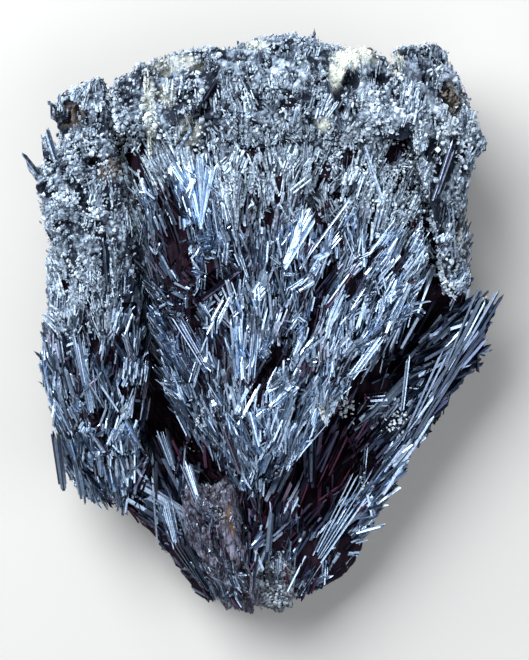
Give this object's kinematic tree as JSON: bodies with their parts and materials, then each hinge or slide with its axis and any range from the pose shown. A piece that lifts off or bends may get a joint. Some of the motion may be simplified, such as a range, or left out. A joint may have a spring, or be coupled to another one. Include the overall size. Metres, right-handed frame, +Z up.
{
  "type": "stibnite crystal spray",
  "caption": "Hand specimen of stibnite: overlapping sheaves of steel-grey prismatic crystals fan out from a dark foot to a crown of pale grey crumbly crust. It lies on its back.",
  "frame": {"origin": "on the surface that the specimen rests on, under the middle of its outline", "axes": "+Y from the foot to the crusted crown, +X to the right seen from above, +Z up"},
  "size_m": [0.0525, 0.0656, 0.0228],
  "materials": {
    "stibnite": "metallic steel grey, striated along the prisms, bright on fresh faces and nearly black between them",
    "dark_matrix": "dull dark rock with fine striations and an ochre stain",
    "altered_crust": "matt, crumbly, pale grey, with cream and beige patches"
  },
  "bodies": {
    "root": {"lower_fan": "stibnite", "upper_fan": "stibnite", "left_fan": "stibnite", "base_matrix": "dark_matrix", "top_crust": "altered_crust", "left_crust": "altered_crust", "right_crust": "altered_crust"}
  },
  "joints": []
}
